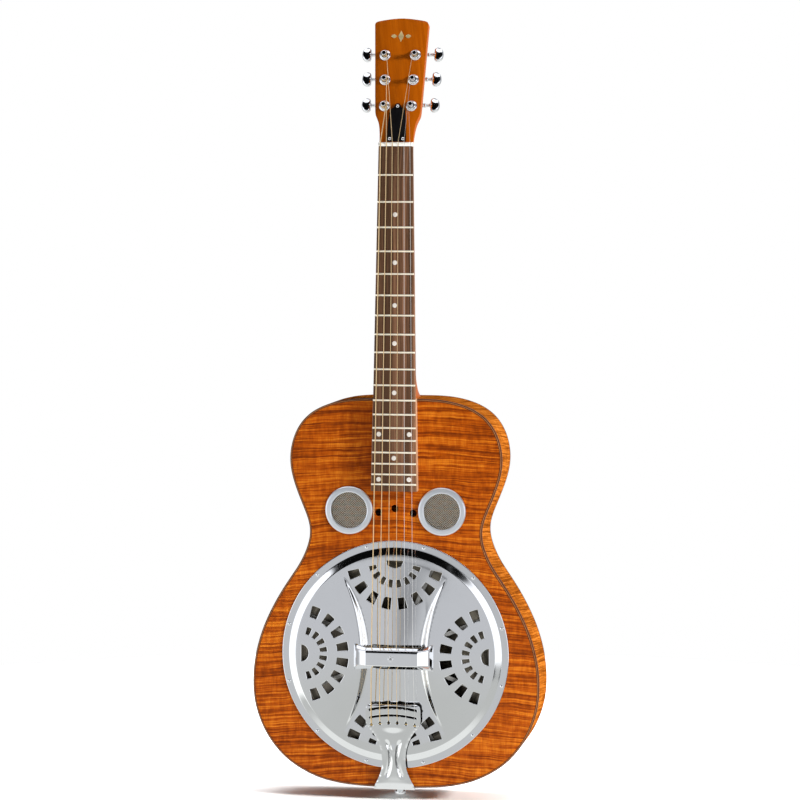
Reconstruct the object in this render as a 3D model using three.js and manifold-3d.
// Resonator guitar with a spider bridge, as an assembly of separate pieces. Millimetres, +Z up.
// The neck points up (+Z), the front faces -Y, the treble side is +X.
// Pieces are laid out in a body frame: z = 0 on the bridge line (cone centre), y = 0 on the front face of the
// soundboard, +y towards the back. The whole group is then moved so that the origin is at HANG, the place on the back
// of the neck, under the headstock, where a hanger's yoke holds the instrument.
import * as THREE from "three";
import { mergeVertices } from "three/addons/utils/BufferGeometryUtils.js";
import Module from "manifold-3d";

const wasm = await Module();
wasm.setup();

// ---------- driving dimensions ----------
const GAP = 0.3; // clearance between pieces that touch
const HANG = [0, 16.2, 622]; // origin of the part, in the body frame
const SCALE_LENGTH = 628.65; // 24.75 in
const NUT_Z = 633.5; // front edge of the nut above the bridge line
const BODY_DEPTH = 84;
const PLATE = 3.5; // soundboard and back thickness
const RIM = 3; // thickness of the bent sides
const BIND_W = 1.8, BIND_D = 5; // edge binding
const SIDE_SEGMENTS = 28; // outline points on each half
const COVER_R = 143.2, CONE_R = 134, TOP_HOLE_R = 136.5;
const NECK_PITCH = 1.2; // degrees, neck plane against the soundboard
const HEAD_PITCH = 14; // degrees, headstock against the neck
const BOARD_T = 6.3, BOARD_LEN = 427.5; // fretboard
const NUT_W = 42.7, BOARD_SLOPE = 0.0337; // width grows this much per mm of length
const FRETS = 19, FRET_H = 1.1, FRET_W = 2.4;
const NUT_T = 5;
const HEAD_T = 14.5; // headstock thickness
const STRING_SPREAD_NUT = 36.8, STRING_SPREAD_BRIDGE = 52.2, STRING_SPREAD_TAIL = 54.7;
const STRING_H_NUT = 2.0; // above the fretboard
const STRING_H_BRIDGE = 24.4; // above the soundboard
const STRING_R = [0.67, 0.53, 0.41, 0.31, 0.22, 0.18];
const POSTS = [[46.7, 16.9], [80.4, 17.8], [112.4, 19.1]]; // headstock position and half spacing of each post pair
const WORM_OFFSET = 6.5, SHAFT_Y = 19.6, BUTTON_X = 24.6;
const GEAR_TEETH = 15;
const SCREEN = [58.6, 180.5];

// ---------- helpers ----------
const V = (x, y, z) => new THREE.Vector3(x, y, z);
const guitar = new THREE.Group();
guitar.name = "resonator_guitar";
guitar.position.set(-HANG[0], -HANG[1], -HANG[2]);

function clean(g) {
  g = g.clone();
  for (const k of Object.keys(g.attributes)) if (k !== "position") g.deleteAttribute(k);
  return mergeVertices(g, 1e-4);
}
function M(g) { // geometry -> solid
  const c = clean(g);
  return new wasm.Manifold(new wasm.Mesh({
    numProp: 3,
    vertProperties: new Float32Array(c.attributes.position.array),
    triVerts: new Uint32Array(c.index.array),
  }));
}
function G(m) { // solid -> geometry
  const s = m.getMesh(), n = s.numProp, v = new Float32Array(s.numVert * 3);
  for (let i = 0; i < s.numVert; i++) v.set(s.vertProperties.subarray(i * n, i * n + 3), i * 3);
  return new THREE.BufferGeometry()
    .setAttribute("position", new THREE.BufferAttribute(v, 3))
    .setIndex(new THREE.BufferAttribute(new Uint32Array(s.triVerts), 1));
}
function raw(points, tris) { // indexed geometry, turned to face outwards
  let vol = 0;
  for (const [a, b, c] of tris) vol += points[a].dot(V(0, 0, 0).crossVectors(points[b], points[c]));
  if (vol < 0) tris = tris.map(([a, b, c]) => [a, c, b]);
  const v = new Float32Array(points.length * 3);
  points.forEach((p, i) => p.toArray(v, i * 3));
  return new THREE.BufferGeometry()
    .setAttribute("position", new THREE.BufferAttribute(v, 3))
    .setIndex(tris.flat());
}
function loft(rings) { // rings of equal length, capped at both ends
  const n = rings[0].length, pts = rings.flat(), tris = [];
  for (let r = 0; r + 1 < rings.length; r++)
    for (let i = 0; i < n; i++) {
      const a = r * n + i, b = r * n + ((i + 1) % n), c = a + n, d = b + n;
      tris.push([a, b, d], [a, d, c]);
    }
  const cap = (ring, base, flip) => {
    const o = ring[0], normal = V(0, 0, 0);
    for (let i = 0; i < n; i++) normal.add(V(0, 0, 0).crossVectors(ring[i].clone().sub(o), ring[(i + 1) % n].clone().sub(o)));
    normal.normalize();
    const u = V(0, 0, 0);
    for (let i = 1; i < n && u.length() < 1e-6; i++) u.copy(ring[i]).sub(o);
    u.addScaledVector(normal, -u.dot(normal)).normalize();
    const w = V(0, 0, 0).crossVectors(normal, u);
    const flat = ring.map((p) => new THREE.Vector2(p.clone().sub(o).dot(u), p.clone().sub(o).dot(w)));
    for (const [a, b, c] of THREE.ShapeUtils.triangulateShape(flat, []))
      tris.push(flip ? [base + a, base + c, base + b] : [base + a, base + b, base + c]);
  };
  cap(rings[0], 0, true);
  cap(rings.at(-1), (rings.length - 1) * n, false);
  return raw(pts, tris);
}
const shapeOf = (pts) => new THREE.Shape(pts.map(([x, z]) => new THREE.Vector2(x, z)));
function plate(outline, y0, y1, holes = []) { // outline in x, z, extruded along y
  const s = shapeOf(outline);
  for (const h of holes) s.holes.push(new THREE.Path(h.map(([x, z]) => new THREE.Vector2(x, z))));
  return new THREE.ExtrudeGeometry(s, { depth: y1 - y0, bevelEnabled: false, steps: 1 })
    .rotateX(Math.PI / 2).translate(0, y1, 0);
}
function circle(x, z, r, n, start = 0) {
  return Array.from({ length: n }, (_, i) => {
    const a = start + (i / n) * Math.PI * 2;
    return [x + r * Math.cos(a), z + r * Math.sin(a)];
  });
}
function box(x0, x1, y0, y1, z0, z1) {
  return new THREE.BoxGeometry(x1 - x0, y1 - y0, z1 - z0).translate((x0 + x1) / 2, (y0 + y1) / 2, (z0 + z1) / 2);
}
function lathe(profile, n, x = 0, z = 0) { // profile [r, y], turned about an axis along y through x, z
  const pts = profile.map(([r, y]) => new THREE.Vector2(r, y));
  let area = 0;
  for (let i = 0; i < pts.length; i++) {
    const a = pts[i], b = pts[(i + 1) % pts.length];
    area += a.x * b.y - b.x * a.y;
  }
  if (area < 0) pts.reverse();
  const onAxis = profile.some(([r]) => r === 0);
  if (!onAxis) pts.push(pts[0].clone());
  else while (pts[0].x !== 0 || pts.at(-1).x !== 0) pts.push(pts.shift());
  const g = new THREE.LatheGeometry(pts, n);
  let m;
  try { m = M(g); } catch { m = null; }
  if (!m || m.volume() < 0) {
    const idx = g.index.array;
    for (let i = 0; i < idx.length; i += 3) [idx[i + 1], idx[i + 2]] = [idx[i + 2], idx[i + 1]];
  }
  return g.translate(x, 0, z);
}
function tube(path, r, sides) { // round bar through points, square ends
  const rings = [];
  let up = V(1, 0, 0);
  path.forEach((p, i) => {
    const a = path[Math.max(0, i - 1)], b = path[Math.min(path.length - 1, i + 1)];
    const dir = b.clone().sub(a).normalize();
    let s = up.clone().addScaledVector(dir, -up.dot(dir)).normalize();
    const t = V(0, 0, 0).crossVectors(dir, s);
    up = s;
    rings.push(Array.from({ length: sides }, (_, k) => {
      const q = (k / sides) * Math.PI * 2;
      return p.clone().addScaledVector(s, r * Math.cos(q)).addScaledVector(t, r * Math.sin(q));
    }));
  });
  return loft(rings);
}
const cut = (a, ...bs) => bs.reduce((m, b) => m.subtract(b), a);
const join = (a, ...bs) => bs.reduce((m, b) => m.add(b), a);

const finish = (color, roughness, metalness = 0) => new THREE.MeshStandardMaterial({ color, roughness, metalness });
const FLAME = finish(0xc4691a, 0.25), MAHOGANY = finish(0xa8540f, 0.3), ROSEWOOD = finish(0x4a3022, 0.5);
const SPRUCE = finish(0xcaa573, 0.7), BOUND = finish(0x3a1f12, 0.35), CHROME = finish(0xc8cacd, 0.12, 1);
const BONE = finish(0xf2eee2, 0.4), SPUN = finish(0xb9bcc0, 0.4, 1), CAST = finish(0x9a9da1, 0.5, 1);
const MAPLE = finish(0xd9b277, 0.6), STEEL = finish(0xb5b7ba, 0.3, 1), BRONZE = finish(0xd49a4a, 0.3, 1);
const BLACK = finish(0x0b0b0c, 0.2), MESH = finish(0x8f8a80, 0.5, 1);
function piece(name, g, material, parent = guitar) {
  const m = new THREE.Mesh(g, material);
  m.name = name;
  parent.add(m);
  return m;
}

// ---------- body outline ----------
const HALF = [ // half width, height
  [0, 320.5], [22, 320.5], [44, 320.3], [66, 318.2], [87.6, 312.5], [103.6, 304.8], [114.6, 296], [123.1, 285],
  [129.3, 271.8], [133.0, 257.2], [134.1, 243.5], [132.5, 228.6], [127.6, 211], [120.6, 192.5], [113.3, 175], [109.4, 163],
  [108.2, 153], [109.6, 142], [114.2, 128], [122, 112], [133, 95.5], [146, 75.5], [158.4, 53], [168.4, 30.5],
  [175.6, 7.5], [179.9, -14.5], [181.3, -37], [179.8, -60], [173.8, -82.8], [163.2, -105.4], [146.2, -127.6],
  [128.6, -142.2], [100.7, -156.6], [73, -163.8], [40, -167.1], [0, -167.5],
];
const curve = new THREE.CatmullRomCurve3(
  [[-22, 320.5], ...HALF, [-40, -167.1]].map(([x, z]) => V(x, z, 0)), false, "centripetal");
const halfLine = (() => { // the right half, evenly spaced, with its outward normal
  const dense = curve.getPoints(1400).filter((p) => p.x >= 0);
  dense[0].set(0, 320.5, 0); dense[dense.length - 1].set(0, -167.5, 0);
  const len = [0];
  for (let i = 1; i < dense.length; i++) len.push(len[i - 1] + dense[i].distanceTo(dense[i - 1]));
  const out = [];
  for (let k = 0; k <= SIDE_SEGMENTS; k++) {
    const t = (k / SIDE_SEGMENTS) * len.at(-1);
    let i = len.findIndex((l) => l >= t);
    i = Math.max(1, i);
    const f = (t - len[i - 1]) / (len[i] - len[i - 1]);
    const p = dense[i - 1].clone().lerp(dense[i], f);
    const a = dense[Math.max(0, i - 8)], b = dense[Math.min(dense.length - 1, i + 8)];
    const d = b.clone().sub(a).normalize();
    let n = V(-d.y, d.x, 0);
    if (k === 0) n = V(0, 1, 0);
    if (k === SIDE_SEGMENTS) n = V(0, -1, 0);
    out.push([p.x, p.y, n.x, n.y]);
  }
  return out;
})();
const halfAt = (inset, side = 1) => halfLine.map(([x, z, nx, nz]) => [side * Math.max(0, x - nx * inset), z - nz * inset]);
function ringAt(inset) { // the whole outline, counter-clockwise seen from the front with z up
  const right = halfAt(inset), left = halfAt(inset, -1);
  return [...right.slice().reverse(), ...left.slice(1, -1)];
}

// ---------- body ----------
{
  const holes = [circle(0, 0, TOP_HOLE_R, 48)];
  for (const s of [-1, 1]) holes.push(circle(s * SCREEN[0], SCREEN[1], 26, 24));
  holes.push(circle(-1, 183.4, 4.8, 10), circle(-21.5, 178.2, 4.8, 10), circle(22.3, 177.8, 4.8, 10));
  piece("soundboard", plate(ringAt(BIND_W + GAP), 0, PLATE, holes), FLAME);
  piece("back_plate", plate(ringAt(BIND_W + GAP), BODY_DEPTH - PLATE, BODY_DEPTH), FLAME);
  const ring = (outer, inner, y0, y1) => plate(ringAt(outer), y0, y1, [ringAt(inner)]);
  piece("top_binding", ring(0, BIND_W, 0, BIND_D), BOUND);
  piece("back_binding", ring(0, BIND_W, BODY_DEPTH - BIND_D, BODY_DEPTH), BOUND);
  for (const [name, side] of [["rim_bass", -1], ["rim_treble", 1]]) {
    const o = halfAt(0, side), i = halfAt(RIM, side).reverse();
    const pts = [...o, ...i].map(([x, z]) => [side * Math.max(Math.abs(x), GAP / 2), z]);
    const bore = M(lathe([[0, -40], [3.4, -40], [3.4, 40], [0, 40]], 12).rotateX(Math.PI / 2).translate(0, 42, -160)); // strap button's shank
    piece(name, G(M(plate(side > 0 ? pts.reverse() : pts, BIND_D + GAP, BODY_DEPTH - BIND_D - GAP)).subtract(bore)), FLAME);
  }
  // kerfed linings run from one side of the neck block round the tail to the other side
  const lining = (y0, y1) => cut(M(ring(RIM + GAP, RIM + GAP + 6, y0, y1)), M(box(-40.4, 40.4, y0 - 1, y1 + 1, 290, 330)));
  piece("top_lining", G(lining(PLATE + GAP, PLATE + GAP + 14)), SPRUCE);
  piece("back_lining", G(lining(BODY_DEPTH - PLATE - GAP - 14, BODY_DEPTH - PLATE - GAP)), SPRUCE);
  piece("neck_block", box(-35, 35, PLATE + GAP, BODY_DEPTH - PLATE - GAP, 262, 320.5 - RIM - GAP), MAHOGANY);
  const tailLine = halfAt(RIM + GAP).filter(([x]) => x < 70).sort((a, b) => a[0] - b[0]);
  const tail = tailLine.filter(([, z]) => z < 0);
  const tx = 34, tz = (() => { // height of the inner rim at x = tx
    for (let i = 0; i + 1 < tail.length; i++)
      if (tail[i][0] <= tx && tail[i + 1][0] >= tx) {
        const f = (tx - tail[i][0]) / (tail[i + 1][0] - tail[i][0]);
        return tail[i][1] + f * (tail[i + 1][1] - tail[i][1]);
      }
    return tail.at(-1)[1];
  })();
  const inner = tail.filter(([x]) => x < tx);
  const tb = [...inner.slice().reverse().map(([x, z]) => [-x, z]), ...inner.slice(1), [tx, tz], [tx, -147], [-tx, -147], [-tx, tz]];
  const reach = RIM + GAP - GAP, notch = (y0, y1) => M(plate(ringAt(-2), y0, y1, [ringAt(reach + 6 + 2 * GAP)]));
  piece("tail_block", G(cut(M(plate(tb, PLATE + GAP, BODY_DEPTH - PLATE - GAP)),
    notch(0, PLATE + 14 + 2 * GAP), notch(BODY_DEPTH - PLATE - 14 - 2 * GAP, BODY_DEPTH),
    M(lathe([[0, -40], [3.4, -40], [3.4, 40], [0, 40]], 12).rotateX(Math.PI / 2).translate(0, 42, -150)))), MAHOGANY);
  piece("back_brace", box(-116, 116, BODY_DEPTH - PLATE - GAP - 12, BODY_DEPTH - PLATE - GAP, 215, 225), SPRUCE);
  // the soundwell, a bent ply ring with a ledge for the cone and eight ports
  let well = M(lathe([[128.5, 5.4], [TOP_HOLE_R, 5.4], [TOP_HOLE_R, PLATE + GAP], [141, PLATE + GAP], [141, 62], [128.5, 62]], 24));
  for (let k = 0; k < 4; k++) {
    const g = box(-160, 160, 20, 48, -24, 24).rotateY((k + 0.5) * Math.PI / 4);
    well = well.subtract(M(g));
  }
  piece("soundwell", G(well), SPRUCE);
  // round screens over the two sound holes
  for (const [name, s] of [["bass", -1], ["treble", 1]]) {
    const x = s * SCREEN[0], z = SCREEN[1];
    piece("screen_bezel_" + name, lathe([[22.6, -2.2], [24.8, -3.2], [27.8, -3.0], [30.2, -1.2], [30.2, -GAP], [25.6, -GAP],
      [25.6, 6], [24.5, 6], [24.5, 0.6], [22.6, 0.6]], 20, x, z), CHROME);
    piece("screen_mesh_" + name, lathe([[0, 0.9], [24.1, 0.9], [24.1, 1.8], [0, 1.8]], 20, x, z), MESH);
  }
}

// ---------- resonator ----------
const CONE = [[CONE_R, 4], [126, 4], [122.6, 13], [115, 13.2], [40, 30], [12, 24.4], [0, 22.6]];
{
  const under = [[0, 23.9], [12.2, 25.7], [40, 31.4], [115.6, 14.5], [123.5, 14.3], [126.4, 5.1], [CONE_R, 5.1]];
  piece("resonator_cone", lathe([...CONE, ...under], 24), SPUN);
  // the spider: eight legs that stand on the edge of the cone, and a hub with two saddle slots
  const leg = () => loft([[6, -1, 4.5, 6], [60, 1, 4.5, 5], [108, 8, 4, 5], [121, 8.6, 4, 7]].map(([r, y, t, w]) =>
    [V(r, y, -w / 2), V(r, y, w / 2), V(r, y + t, w / 2), V(r, y + t, -w / 2)]));
  let spider = M(box(-27.5, 27.5, -4, 5.5, -7.5, 7.5));
  for (let k = 0; k < 8; k++) spider = spider.add(M(leg().rotateY((k + 0.5) * Math.PI / 4)));
  spider = cut(spider, M(box(4.2, 25.6, -6, 1.8, -3.3, 3.3)), M(box(-25.6, -4.2, -6, 1.8, -3.3, 3.3)),
    M(lathe([[0, -8], [2.3, -8], [2.3, 8], [0, 8]], 10)));
  piece("spider_bridge", G(spider), CAST);
  const top = -(STRING_H_BRIDGE - 0.67 - GAP);
  for (const [name, s] of [["saddle_bass", -1], ["saddle_treble", 1]]) {
    const a = s * 4.6, b = s * 25.3, c = s * 29;
    const outline = [[a, 1.5], [b, 1.5], [b, -8], [c, -11], [c, top], [a + s, top], [a + s * 2.4, -14], [a, -10]];
    piece(name, loft([-3, 3].map((z) => outline.map(([x, y]) => V(x, y, z)))), MAPLE);
  }
  piece("tension_screw", lathe([[0, -7.2], [3.6, -7.2], [3.9, -6.4], [3.9, -4.3], [2, -4.3], [2, 22.2], [0, 22.2]], 12), STEEL);
}

// ---------- coverplate ----------
// Flat flange, a rolled step, then two raised side lobes with a lower channel between them under the strings.
const FAN_C = 118.8, FAN_STEP = 20.3, FAN_HALF = 5.6, DOME_R = 125.5;
// the walls between the lobes and the channel are widest beside the palm rest and run out near the rim
const wallWidth = (z) => Math.max(0.8, 9.8 - 0.09 * Math.abs(z));
const channelHalf = (z) => 42.5 + 0.0025 * z * z - wallWidth(z) / 2;
function coverHeight(x, z, lobe) {
  const r = Math.hypot(x, z);
  const k = Math.max(0, 1 - r / DOME_R);
  return 3.6 + (lobe ? 11.4 : 4) * k;
}
{
  const T = 1.1;
  // rows across the plate; the first and last rows lie on the inner circle's caps
  const R = DOME_R, rows = 9, cols = 9;
  const capAngle = 0.52; // half angle of the top and bottom cap, from the z axis
  const grid = [];
  for (let j = 0; j < rows; j++) {
    const v = -1 + (2 * j) / (rows - 1);
    const row = [];
    for (let i = 0; i < cols; i++) {
      const u = -1 + (2 * i) / (cols - 1);
      let x, z, lobe = Math.abs(u) > 0.4;
      if (Math.abs(v) === 1) {
        const a = u * capAngle;
        x = R * Math.sin(a); z = v * R * Math.cos(a);
      } else {
        const a = (Math.PI / 2 - capAngle) * v; // angle of the row's ends from the x axis
        const xe = R * Math.cos(a), ze = R * Math.sin(a);
        z = ze;
        const c = Math.min(channelHalf(z), 0.86 * xe), hw = wallWidth(z) / 2;
        const au = Math.abs(u), sg = Math.sign(u);
        if (au === 1) x = sg * xe;
        else if (au === 0.75) x = sg * (c + hw + (xe - c - hw) * 0.5);
        else if (au === 0.5) x = sg * (c + hw);
        else if (au === 0.25) x = sg * (c - hw);
        else x = 0;
      }
      const h = (Math.abs(u) === 1 || Math.abs(v) === 1) ? 3.6 : coverHeight(x, z, lobe);
      row.push([x, z, h]);
    }
    grid.push(row);
  }
  const loop = [];
  for (let i = 0; i < cols; i++) loop.push([0, i]);
  for (let j = 1; j < rows; j++) loop.push([j, cols - 1]);
  for (let i = cols - 2; i >= 0; i--) loop.push([rows - 1, i]);
  for (let j = rows - 2; j >= 1; j--) loop.push([j, 0]);
  const ringsOut = [[127.8, 3.05], [130.2, 2.3], [132.6, 1.55], [134.8, 0.95], [COVER_R, 0.95]];
  const pts = [], tris = [], id = {};
  const add = (x, y, z) => (pts.push(V(x, y, z)), pts.length - 1);
  for (const face of [0, 1]) { // 0 the front, 1 the underside
    for (let j = 0; j < rows; j++) for (let i = 0; i < cols; i++) {
      const [x, z, h] = grid[j][i];
      id[face + "," + j + "," + i] = add(x, -(h - face * T) - 0.35, z);
    }
    const q = (j, i) => id[face + "," + j + "," + i];
    const push = (a, b, c) => tris.push(face ? [a, c, b] : [a, b, c]);
    for (let j = 0; j + 1 < rows; j++) for (let i = 0; i + 1 < cols; i++) {
      // the diagonal leans away from the middle so that the lobes stay symmetric
      if ((i < (cols - 1) / 2) === (j < (rows - 1) / 2)) { push(q(j, i), q(j, i + 1), q(j + 1, i)); push(q(j, i + 1), q(j + 1, i + 1), q(j + 1, i)); }
      else { push(q(j, i), q(j, i + 1), q(j + 1, i + 1)); push(q(j, i), q(j + 1, i + 1), q(j + 1, i)); }
    }
    let prev = loop.map(([j, i]) => q(j, i));
    const shift = face ? -0.9 : 0;
    ringsOut.forEach(([r, h], k) => {
      const last = k === ringsOut.length - 1;
      const next = loop.map(([j, i]) => {
        const [x, z] = grid[j][i], a = Math.atan2(z, x);
        const rr = last ? r : r + shift;
        return add(rr * Math.cos(a), -(h - (face ? (k >= 3 ? 0.95 : T) : 0)) - 0.35, rr * Math.sin(a));
      });
      for (let n = 0; n < loop.length; n++) {
        const m = (n + 1) % loop.length;
        push(prev[n], next[n], next[m]); push(prev[n], next[m], prev[m]);
      }
      prev = next;
    });
    id["edge" + face] = prev;
  }
  const e0 = id.edge0, e1 = id.edge1;
  for (let n = 0; n < e0.length; n++) {
    const m = (n + 1) % e0.length;
    tris.push([e0[n], e1[n], e1[m]], [e0[n], e1[m], e0[m]]);
  }
  let cover = M(raw(pts, tris));
  const wedge = (r0, r1, mid, halfDeg) => {
    const a0 = (mid - halfDeg) * Math.PI / 180, a1 = (mid + halfDeg) * Math.PI / 180;
    return [[r0 * Math.cos(a0), r0 * Math.sin(a0)], [r1 * Math.cos(a0), r1 * Math.sin(a0)], [r1 * Math.cos(a1), r1 * Math.sin(a1)], [r0 * Math.cos(a1), r0 * Math.sin(a1)]];
  };
  const cutters = [];
  for (let f = 0; f < 4; f++) {
    const back = 180 + f * 90; // towards the middle of the plate
    const ca = (f * 90) * Math.PI / 180, cx = FAN_C * Math.cos(ca), cz = FAN_C * Math.sin(ca);
    const put = (w) => cutters.push(M(plate(w.map(([x, z]) => [x + cx, z + cz]), -30, 10)));
    for (let k = 0; k < 8; k++) {
      const a = back + (k - 3.5) * FAN_STEP;
      put(wedge(46.8, 61.6, a, FAN_HALF));
      put(wedge(24.3, 33.9, a, FAN_HALF));
    }
    const d = [];
    for (let k = 0; k <= 6; k++) {
      const a = (back - 90 + k * 30) * Math.PI / 180;
      d.push([10.7 * Math.cos(a), 10.7 * Math.sin(a)]);
    }
    put(d);
  }
  cover = cover.subtract(wasm.Manifold.union(cutters));
  cover = cover.subtract(M(box(-31, 31, -40, 10, -8.5, 8.5))); // slot for the saddles
  piece("coverplate", G(cover), CHROME);

  // the palm rest, a bridge of pressed sheet over the strings
  const sec = (x, h, w, drop) => {
    const t = 1.5, b = w - 5;
    return [V(x, -h + drop, -w), V(x, -h, -b), V(x, -h, b), V(x, -h + drop, w),
      V(x, -h + drop, w - t * 1.2), V(x, -h + t, b - t * 0.6), V(x, -h + t, -(b - t * 0.6)), V(x, -h + drop, -(w - t * 1.2))];
  };
  const st = [[-50, 13.4, 16.5, 1.4], [-45.5, 22.5, 15, 5], [-35, 31, 13, 5.5], [35, 31, 13, 5.5], [45.5, 22.5, 15, 5], [50, 13.4, 16.5, 1.4]];
  let rest = M(loft(st.map((s) => {
    const r = sec(...s);
    if (Math.abs(s[0]) === 50) return r.map((p, i) => V(p.x - (i > 3 ? Math.sign(s[0]) * 1.4 : 0), i > 3 ? -11.3 : (i === 0 || i === 3 ? -11.3 : p.y), p.z));
    if (Math.abs(s[0]) === 45.5) return r.map((p, i) => V(p.x - (i > 3 ? Math.sign(s[0]) * 1.5 : 0), p.y, p.z));
    return r;
  })));
  rest = rest.subtract(M(lathe([[0, -40], [2.6, -40], [2.6, -20], [0, -20]], 12)));
  piece("palm_rest", G(rest.translate([0, 0, -1.6])), CHROME);
}

// ---------- tailpiece and strap button ----------
{
  // stations down the plate: point on its front face (z, y), its thickness direction, half width
  const st = [[-57, -15.2, 31.5], [-60.5, -18, 34.5], [-66, -18.6, 35], [-84, -16.4, 34.5], [-90, -15.8, 31], [-100, -14.9, 23.5],
    [-112, -13.6, 18], [-128, -11.3, 14.9], [-142, -9.3, 15.6], [-156, -7.2, 20.5], [-165.5, -5.2, 25], [-169.6, -2.2, 26], [-170.3, 4, 25.4],
    [-170.3, 22, 18], [-170.3, 42, 13], [-170.3, 52, 9.5]];
  const T = 1.6;
  const rings = st.map(([z, y, w], i) => {
    const a = st[Math.max(0, i - 1)], b = st[Math.min(st.length - 1, i + 1)];
    const dz = b[0] - a[0], dy = b[1] - a[1], l = Math.hypot(dz, dy);
    const nz = -dy / l, ny = dz / l; // towards the front, then the tail end
    const crown = i < 11 ? 1.2 : 0;
    const p = (x, off, c) => V(x, y + ny * (off + c), z + nz * (off + c));
    return [p(-w, 0, -crown), p(0, 0, 0), p(w, 0, -crown), p(w, -T, -crown), p(0, -T, 0), p(-w, -T, -crown)];
  });
  let tail = M(loft(rings));
  tail = tail.subtract(M(lathe([[0, -8], [3.6, -8], [3.6, 8], [0, 8]], 12).rotateX(Math.PI / 2).translate(0, 42, -170)));
  for (let i = 0; i < 6; i++) { // slots for the ball ends
    const x = -STRING_SPREAD_TAIL / 2 + (i * STRING_SPREAD_TAIL) / 5;
    const dz = 0.0042 * x * x;
    tail = tail.subtract(M(plate([[x - 1.3, -84.5 - dz], [x + 1.3, -84.5 - dz], [x + 1.3, -78 - dz], [x - 1.3, -78 - dz]], -30, 0)));
  }
  piece("tailpiece", G(tail), CHROME);
  const button = lathe([[0, 12], [4.5, 12], [6.8, 10.4], [6.9, 8.6], [4.2, 5.4], [4.2, 2.6], [6.6, 0.4], [6.6, 0], [3, 0], [3, -20], [0, -20]], 16)
    .rotateX(-Math.PI / 2).translate(0, 42, -170.7);
  piece("strap_button", button, CHROME);
}

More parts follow.
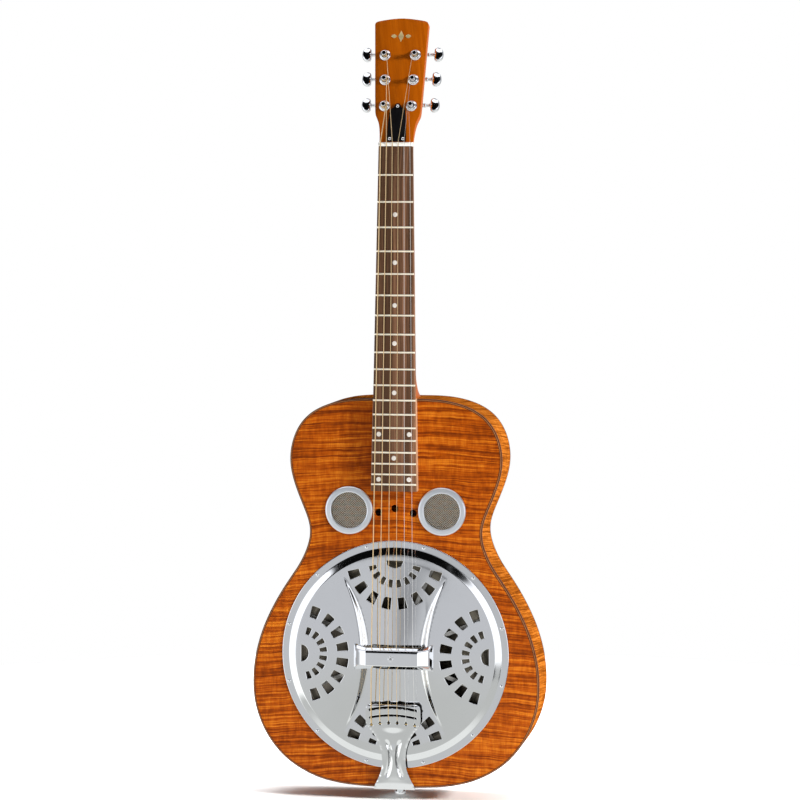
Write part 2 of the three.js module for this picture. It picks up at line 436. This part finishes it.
// ---------- neck ----------
const zBridgeTilt = THREE.MathUtils.degToRad(NECK_PITCH);
const neckFrame = new THREE.Group(); // y = 0 on the fretboard surface, z = -s along it from the nut
neckFrame.position.set(0, -5.42, NUT_Z);
neckFrame.rotation.x = -zBridgeTilt;
guitar.add(neckFrame);
const headFrame = new THREE.Group(); // y = 0 on the headstock's face, z along it from the back of the nut
headFrame.position.set(0, BOARD_T + 0.1, NUT_T);
headFrame.rotation.x = -THREE.MathUtils.degToRad(HEAD_PITCH);
neckFrame.add(headFrame);
guitar.updateMatrixWorld(true);
const neckM = new THREE.Matrix4().copy(neckFrame.matrix);
const headM = new THREE.Matrix4().multiplyMatrices(neckFrame.matrix, headFrame.matrix);
const headInNeck = headFrame.matrix.clone();
const boardW = (s) => NUT_W + BOARD_SLOPE * s;
{
  // shaft and heel: sections across the neck at distance s from the nut
  const fr = [0, 0.3, 0.55, 0.78, 0.93, 1];
  const section = (s, depth, heel) => {
    const w = boardW(s) / 2, right = [];
    for (const f of fr) {
      const round = Math.sqrt(Math.max(0, 1 - f * f * 0.985)), block = 1 - 0.3 * f ** 2.2;
      right.push([w * (round * (1 - heel) + block * heel), f * depth]);
    }
    const y0 = BOARD_T + GAP;
    return [...right.map(([x, d]) => V(x, y0 + d, -s)), ...right.slice().reverse().map(([x, d]) => V(-x, y0 + d, -s))];
  };
  const st = [[-2, 14.9, 0], [25, 15.4, 0], [150, 16.8, 0], [274, 18.3, 0], [286, 20.5, 0.15], [295, 28, 0.45], [302, 42, 0.75], [307.5, 58, 0.95], [312.6, 72.5, 1]];
  let neck = M(loft(st.map((a) => section(...a))));
  // flat end against the body
  const bodyCut = M(box(-60, 60, -40, 120, 150, 320.5 + GAP));
  const toWorld = (m, mat) => m.transform(Array.from(mat.elements));
  neck = toWorld(neck, neckM).subtract(bodyCut);
  // tongue under the fretboard, over the soundboard
  const tongue = (() => {
    const z1 = 326, z0 = NUT_Z - BOARD_LEN + 0.4;
    const under = (z) => -(5.42 + (NUT_Z - z) * Math.tan(zBridgeTilt)) + BOARD_T + GAP;
    const ring = (z, w) => [V(-w, under(z), z), V(w, under(z), z), V(w, -GAP, z), V(-w, -GAP, z)];
    return M(loft([ring(z1, boardW(NUT_Z - z1) / 2), ring(z0, boardW(NUT_Z - z0) / 2 - 0.2)]));
  })();
  neck = neck.add(tongue);
  // headstock
  const side = [[21.2, 0], [21.2, 9], [22.0, 17], [23.4, 25], [25.8, 31], [27.9, 36.5], [28.8, 46], [31.4, 102], [33.9, 152], [33.1, 155], [30.4, 156.6], [15, 159.3], [0, 160.3]];
  const head = [...side, ...side.slice(0, -1).reverse().map(([x, z]) => [-x, z])];
  let headstock = M(plate(head, 0, HEAD_T));
  for (const [t, x] of POSTS) for (const s of [-1, 1])
    headstock = headstock.subtract(M(lathe([[0, -5], [5, -5], [5, 30], [0, 30]], 10, s * x, t)));
  headstock = toWorld(headstock, headM);
  neck = neck.add(headstock);
  // root of the headstock, filling between shaft and headstock behind the nut
  const fill = loft([[-1, 6.6, 14.7], [6, 6.9, 15.6]].map(([z, y, d]) => fr.map((f) => [21.2 * Math.sqrt(Math.max(0, 1 - f * f * 0.8)), f * d])
    .reduce((r, [x, dd]) => (r.a.push(V(x, y + dd, z)), r.b.unshift(V(-x, y + dd, z)), r), { a: [], b: [] })).map((r) => [...r.a, ...r.b]));
  neck = neck.add(toWorld(M(fill), neckM));
  // channel for the truss rod and the pocket at its nut
  neck = neck.subtract(toWorld(M(box(-3.4, 3.4, BOARD_T - 2, 16, -300, 9)), neckM));
  neck = neck.subtract(toWorld(M(box(-6.2, 6.2, 2, 17.4, 6.2, 24)), neckM));
  // keep clear of the soundboard edge and the nut seat
  piece("neck", G(neck), MAHOGANY);
  // truss rod: a bar with a hex nut at the headstock end
  piece("truss_rod", G(join(M(box(-2.9, 2.9, 9.7, 15.6, -298, 6.6)),
    M(lathe([[0, 6.4], [4, 6.4], [4, 14], [0, 14]], 6).rotateX(Math.PI / 2).translate(0, 12.9, 0)))), STEEL, neckFrame);
  // fretboard with its pressed-in frets
  const board = (s) => {
    const w = boardW(s) / 2;
    return [V(-w, 0.55, -s), V(-w * 0.5, 0.14, -s), V(0, 0, -s), V(w * 0.5, 0.14, -s), V(w, 0.55, -s), V(w, BOARD_T, -s), V(-w, BOARD_T, -s)];
  };
  let fb = M(loft([board(0), board(BOARD_LEN)]));
  const fretBars = [];
  for (let n = 1; n <= FRETS; n++) {
    const s = SCALE_LENGTH * (1 - 2 ** (-n / 12)), w = boardW(s) / 2;
    const bar = (x) => {
      const y = 0.55 * (x / w) ** 2;
      return [V(x, y + 0.8, -s + FRET_W / 2), V(x, y - FRET_H, -s + FRET_W / 5), V(x, y - FRET_H, -s - FRET_W / 5), V(x, y + 0.8, -s - FRET_W / 2)];
    };
    fretBars.push(M(loft([bar(-w), bar(0), bar(w)])));
  }
  fb = fb.add(wasm.Manifold.union(fretBars));
  piece("fretboard", G(fb), ROSEWOOD, neckFrame);
  piece("nut", G(M(loft([[-NUT_W / 2, 0.3], [NUT_W / 2, 0.3]].map(([x]) =>
    [V(x, -1.0, GAP), V(x, BOARD_T, GAP), V(x, BOARD_T, NUT_T), V(x, 0.1, NUT_T)])))), BONE, neckFrame);
  // truss rod cover
  const cs = [[11.8, 0.8], [11.3, 22], [9.6, 41], [8.0, 43.2], [5.2, 44.2], [3.6, 46.6], [2.2, 49], [0, 49.8]];
  piece("truss_rod_cover", plate([...cs, ...cs.slice(0, -1).reverse().map(([x, z]) => [-x, z])], -2.2, -GAP), BLACK, headFrame);
}

// ---------- tuners ----------
const order = [[-1, 0], [-1, 1], [-1, 2], [1, 2], [1, 1], [1, 0]]; // string 6 to string 1: side, post row
order.forEach(([side, row], i) => {
  const n = 6 - i, [t, xp] = POSTS[row], x = side * xp;
  const wt = t + WORM_OFFSET;
  const X = (d) => x + side * d; // outwards from the post
  const bx = (a, b, y0, y1, z0, z1) => box(Math.min(X(a), X(b)), Math.max(X(a), X(b)), y0, y1, z0, z1);
  const rod = (profile, seg) => lathe(profile, seg).rotateZ(-side * Math.PI / 2).translate(x, SHAFT_Y, wt); // turned about x, outwards
  // bushing: washer and domed nut in front, sleeve through the headstock
  piece("tuner_bushing_" + n, lathe([[3.5, -3.6], [4.6, -3.6], [5.6, -2.4], [5.6, -1.3], [7, -1.1], [7, -GAP], [4.7, -GAP], [4.7, 10], [3.5, 10]], 10, x, t), CHROME, headFrame);
  // post with its gear
  const gear = [];
  for (let k = 0; k < GEAR_TEETH; k++) for (const [f, r] of [[0, 4.85], [0.5, 3.9]]) {
    const a = ((k + f) / GEAR_TEETH) * Math.PI * 2;
    gear.push([x + r * Math.cos(a), t + r * Math.sin(a)]);
  }
  piece("tuner_post_" + n, G(join(M(lathe([[0, -11.5], [2.5, -11.5], [3, -11], [3, -9.2], [2.3, -8.4], [2.3, -4], [3, -3.6], [3, 22.6], [0, 22.6]], 8, x, t)),
    M(plate(gear, 17.8, 21.4)))), CHROME, headFrame);
  // gear housing, open to the post and to the worm shaft
  let house = M(plate([[X(-7.6), t - 5], [X(-5), t - 7.6], [X(7), t - 7.6], [X(9.6), t - 5], [X(9.6), t + 9], [X(7.6), t + 10.8], [X(-5.6), t + 10.8], [X(-7.6), t + 9]]
    , HEAD_T + GAP, 25));
  if (house.volume() < 0) throw new Error("housing is inside out");
  house = cut(house, M(lathe([[0, 10], [5.3, 10], [5.3, 23.2], [0, 23.2]], 12, x, t)), M(bx(-6.2, 8.2, 17, 22.3, wt - 2.3, wt + 2.3)),
    M(rod([[0, 0], [1.9, 0], [1.9, 14], [0, 14]], 8)));
  piece("tuner_housing_" + n, G(house), CHROME, headFrame);
  // worm shaft, ferrule and kidney button
  const shaft = M(rod([[0, -5.8], [1.55, -5.8], [1.55, 9.9], [2.9, 9.9], [2.9, 14.6], [2.1, 15.6], [2.1, 19.7], [3.4, 20.6], [3.4, 22.2], [0, 22.2]], 8));
  const kid = [[20.6, -3], [21.1, -7.2], [23.7, -9.3], [27.7, -9], [31.2, -6], [32.5, 0], [31.2, 6], [27.7, 9], [23.7, 9.3], [21.1, 7.2], [20.6, 3]];
  const ring = (y, k) => kid.map(([a, b]) => V(X(26.6 + (a - 26.6) * k), SHAFT_Y + y, wt + b * k));
  const knob = M(loft([ring(-4.1, 0.74), ring(-1.8, 1), ring(1.8, 1), ring(4.1, 0.74)]));
  piece("tuner_button_" + n, G(shaft.add(knob)), CHROME, headFrame);

  // ---------- the string of this tuner ----------
  const r = STRING_R[i], f = i / 5 - 0.5;
  const xn = f * STRING_SPREAD_NUT, xb = f * STRING_SPREAD_BRIDGE, xt = f * STRING_SPREAD_TAIL;
  const W = (v, m) => v.applyMatrix4(m);
  const path = [];
  // winding round the post, then off its inner side to the nut
  const rw = 2.3 + GAP + r + 0.12, yw = row === 1 ? -7.3 : -6.3, steps = 12; // one turn round the post
  const nutP = W(V(xn, -STRING_H_NUT, NUT_T * 0.5), neckM.clone());
  const nutLocal = nutP.clone().applyMatrix4(headM.clone().invert());
  // tangent from the nut point to the winding, on the side nearest the middle
  const dx = x - nutLocal.x, dz = t - nutLocal.z, dist = Math.hypot(dx, dz);
  const base = Math.atan2(dz, dx), off = Math.asin(rw / dist);
  const dir = side < 0 ? base - off : base + off;
  const L = Math.sqrt(dist * dist - rw * rw);
  const tx2 = nutLocal.x + L * Math.cos(dir), tz2 = nutLocal.z + L * Math.sin(dir);
  const start = Math.atan2(tz2 - t, tx2 - x);
  for (let k = steps; k >= 1; k--) {
    const a = start + (side < 0 ? 1 : -1) * (k / steps) * Math.PI * 2;
    path.push(W(V(x + rw * Math.cos(a), yw + (k / steps) * (2 * r + 0.25), t + rw * Math.sin(a)), headM));
  }
  path.push(W(V(tx2, yw, tz2), headM));
  path.push(W(V(xn, -STRING_H_NUT - 0.12, NUT_T + 0.8), neckM));
  path.push(W(V(xn, -STRING_H_NUT, 0.2), neckM));
  path.push(V(xb, -STRING_H_BRIDGE, 1.2), V(xb, -STRING_H_BRIDGE + 0.12, -2.2));
  const dzt = 0.0042 * xt * xt, crown = 1.2 * (Math.abs(xt) / 35);
  path.push(V(xt, -18.6 + crown - r - 0.55, -65 - dzt * 0.2), V(xt, -17.2 + crown - r - 0.4, -78.6 - dzt), V(xt, -15.6, -81.2 - dzt));
  piece("string_" + n, tube(path, r, 5), i < 4 ? BRONZE : STEEL);
});

export default guitar;
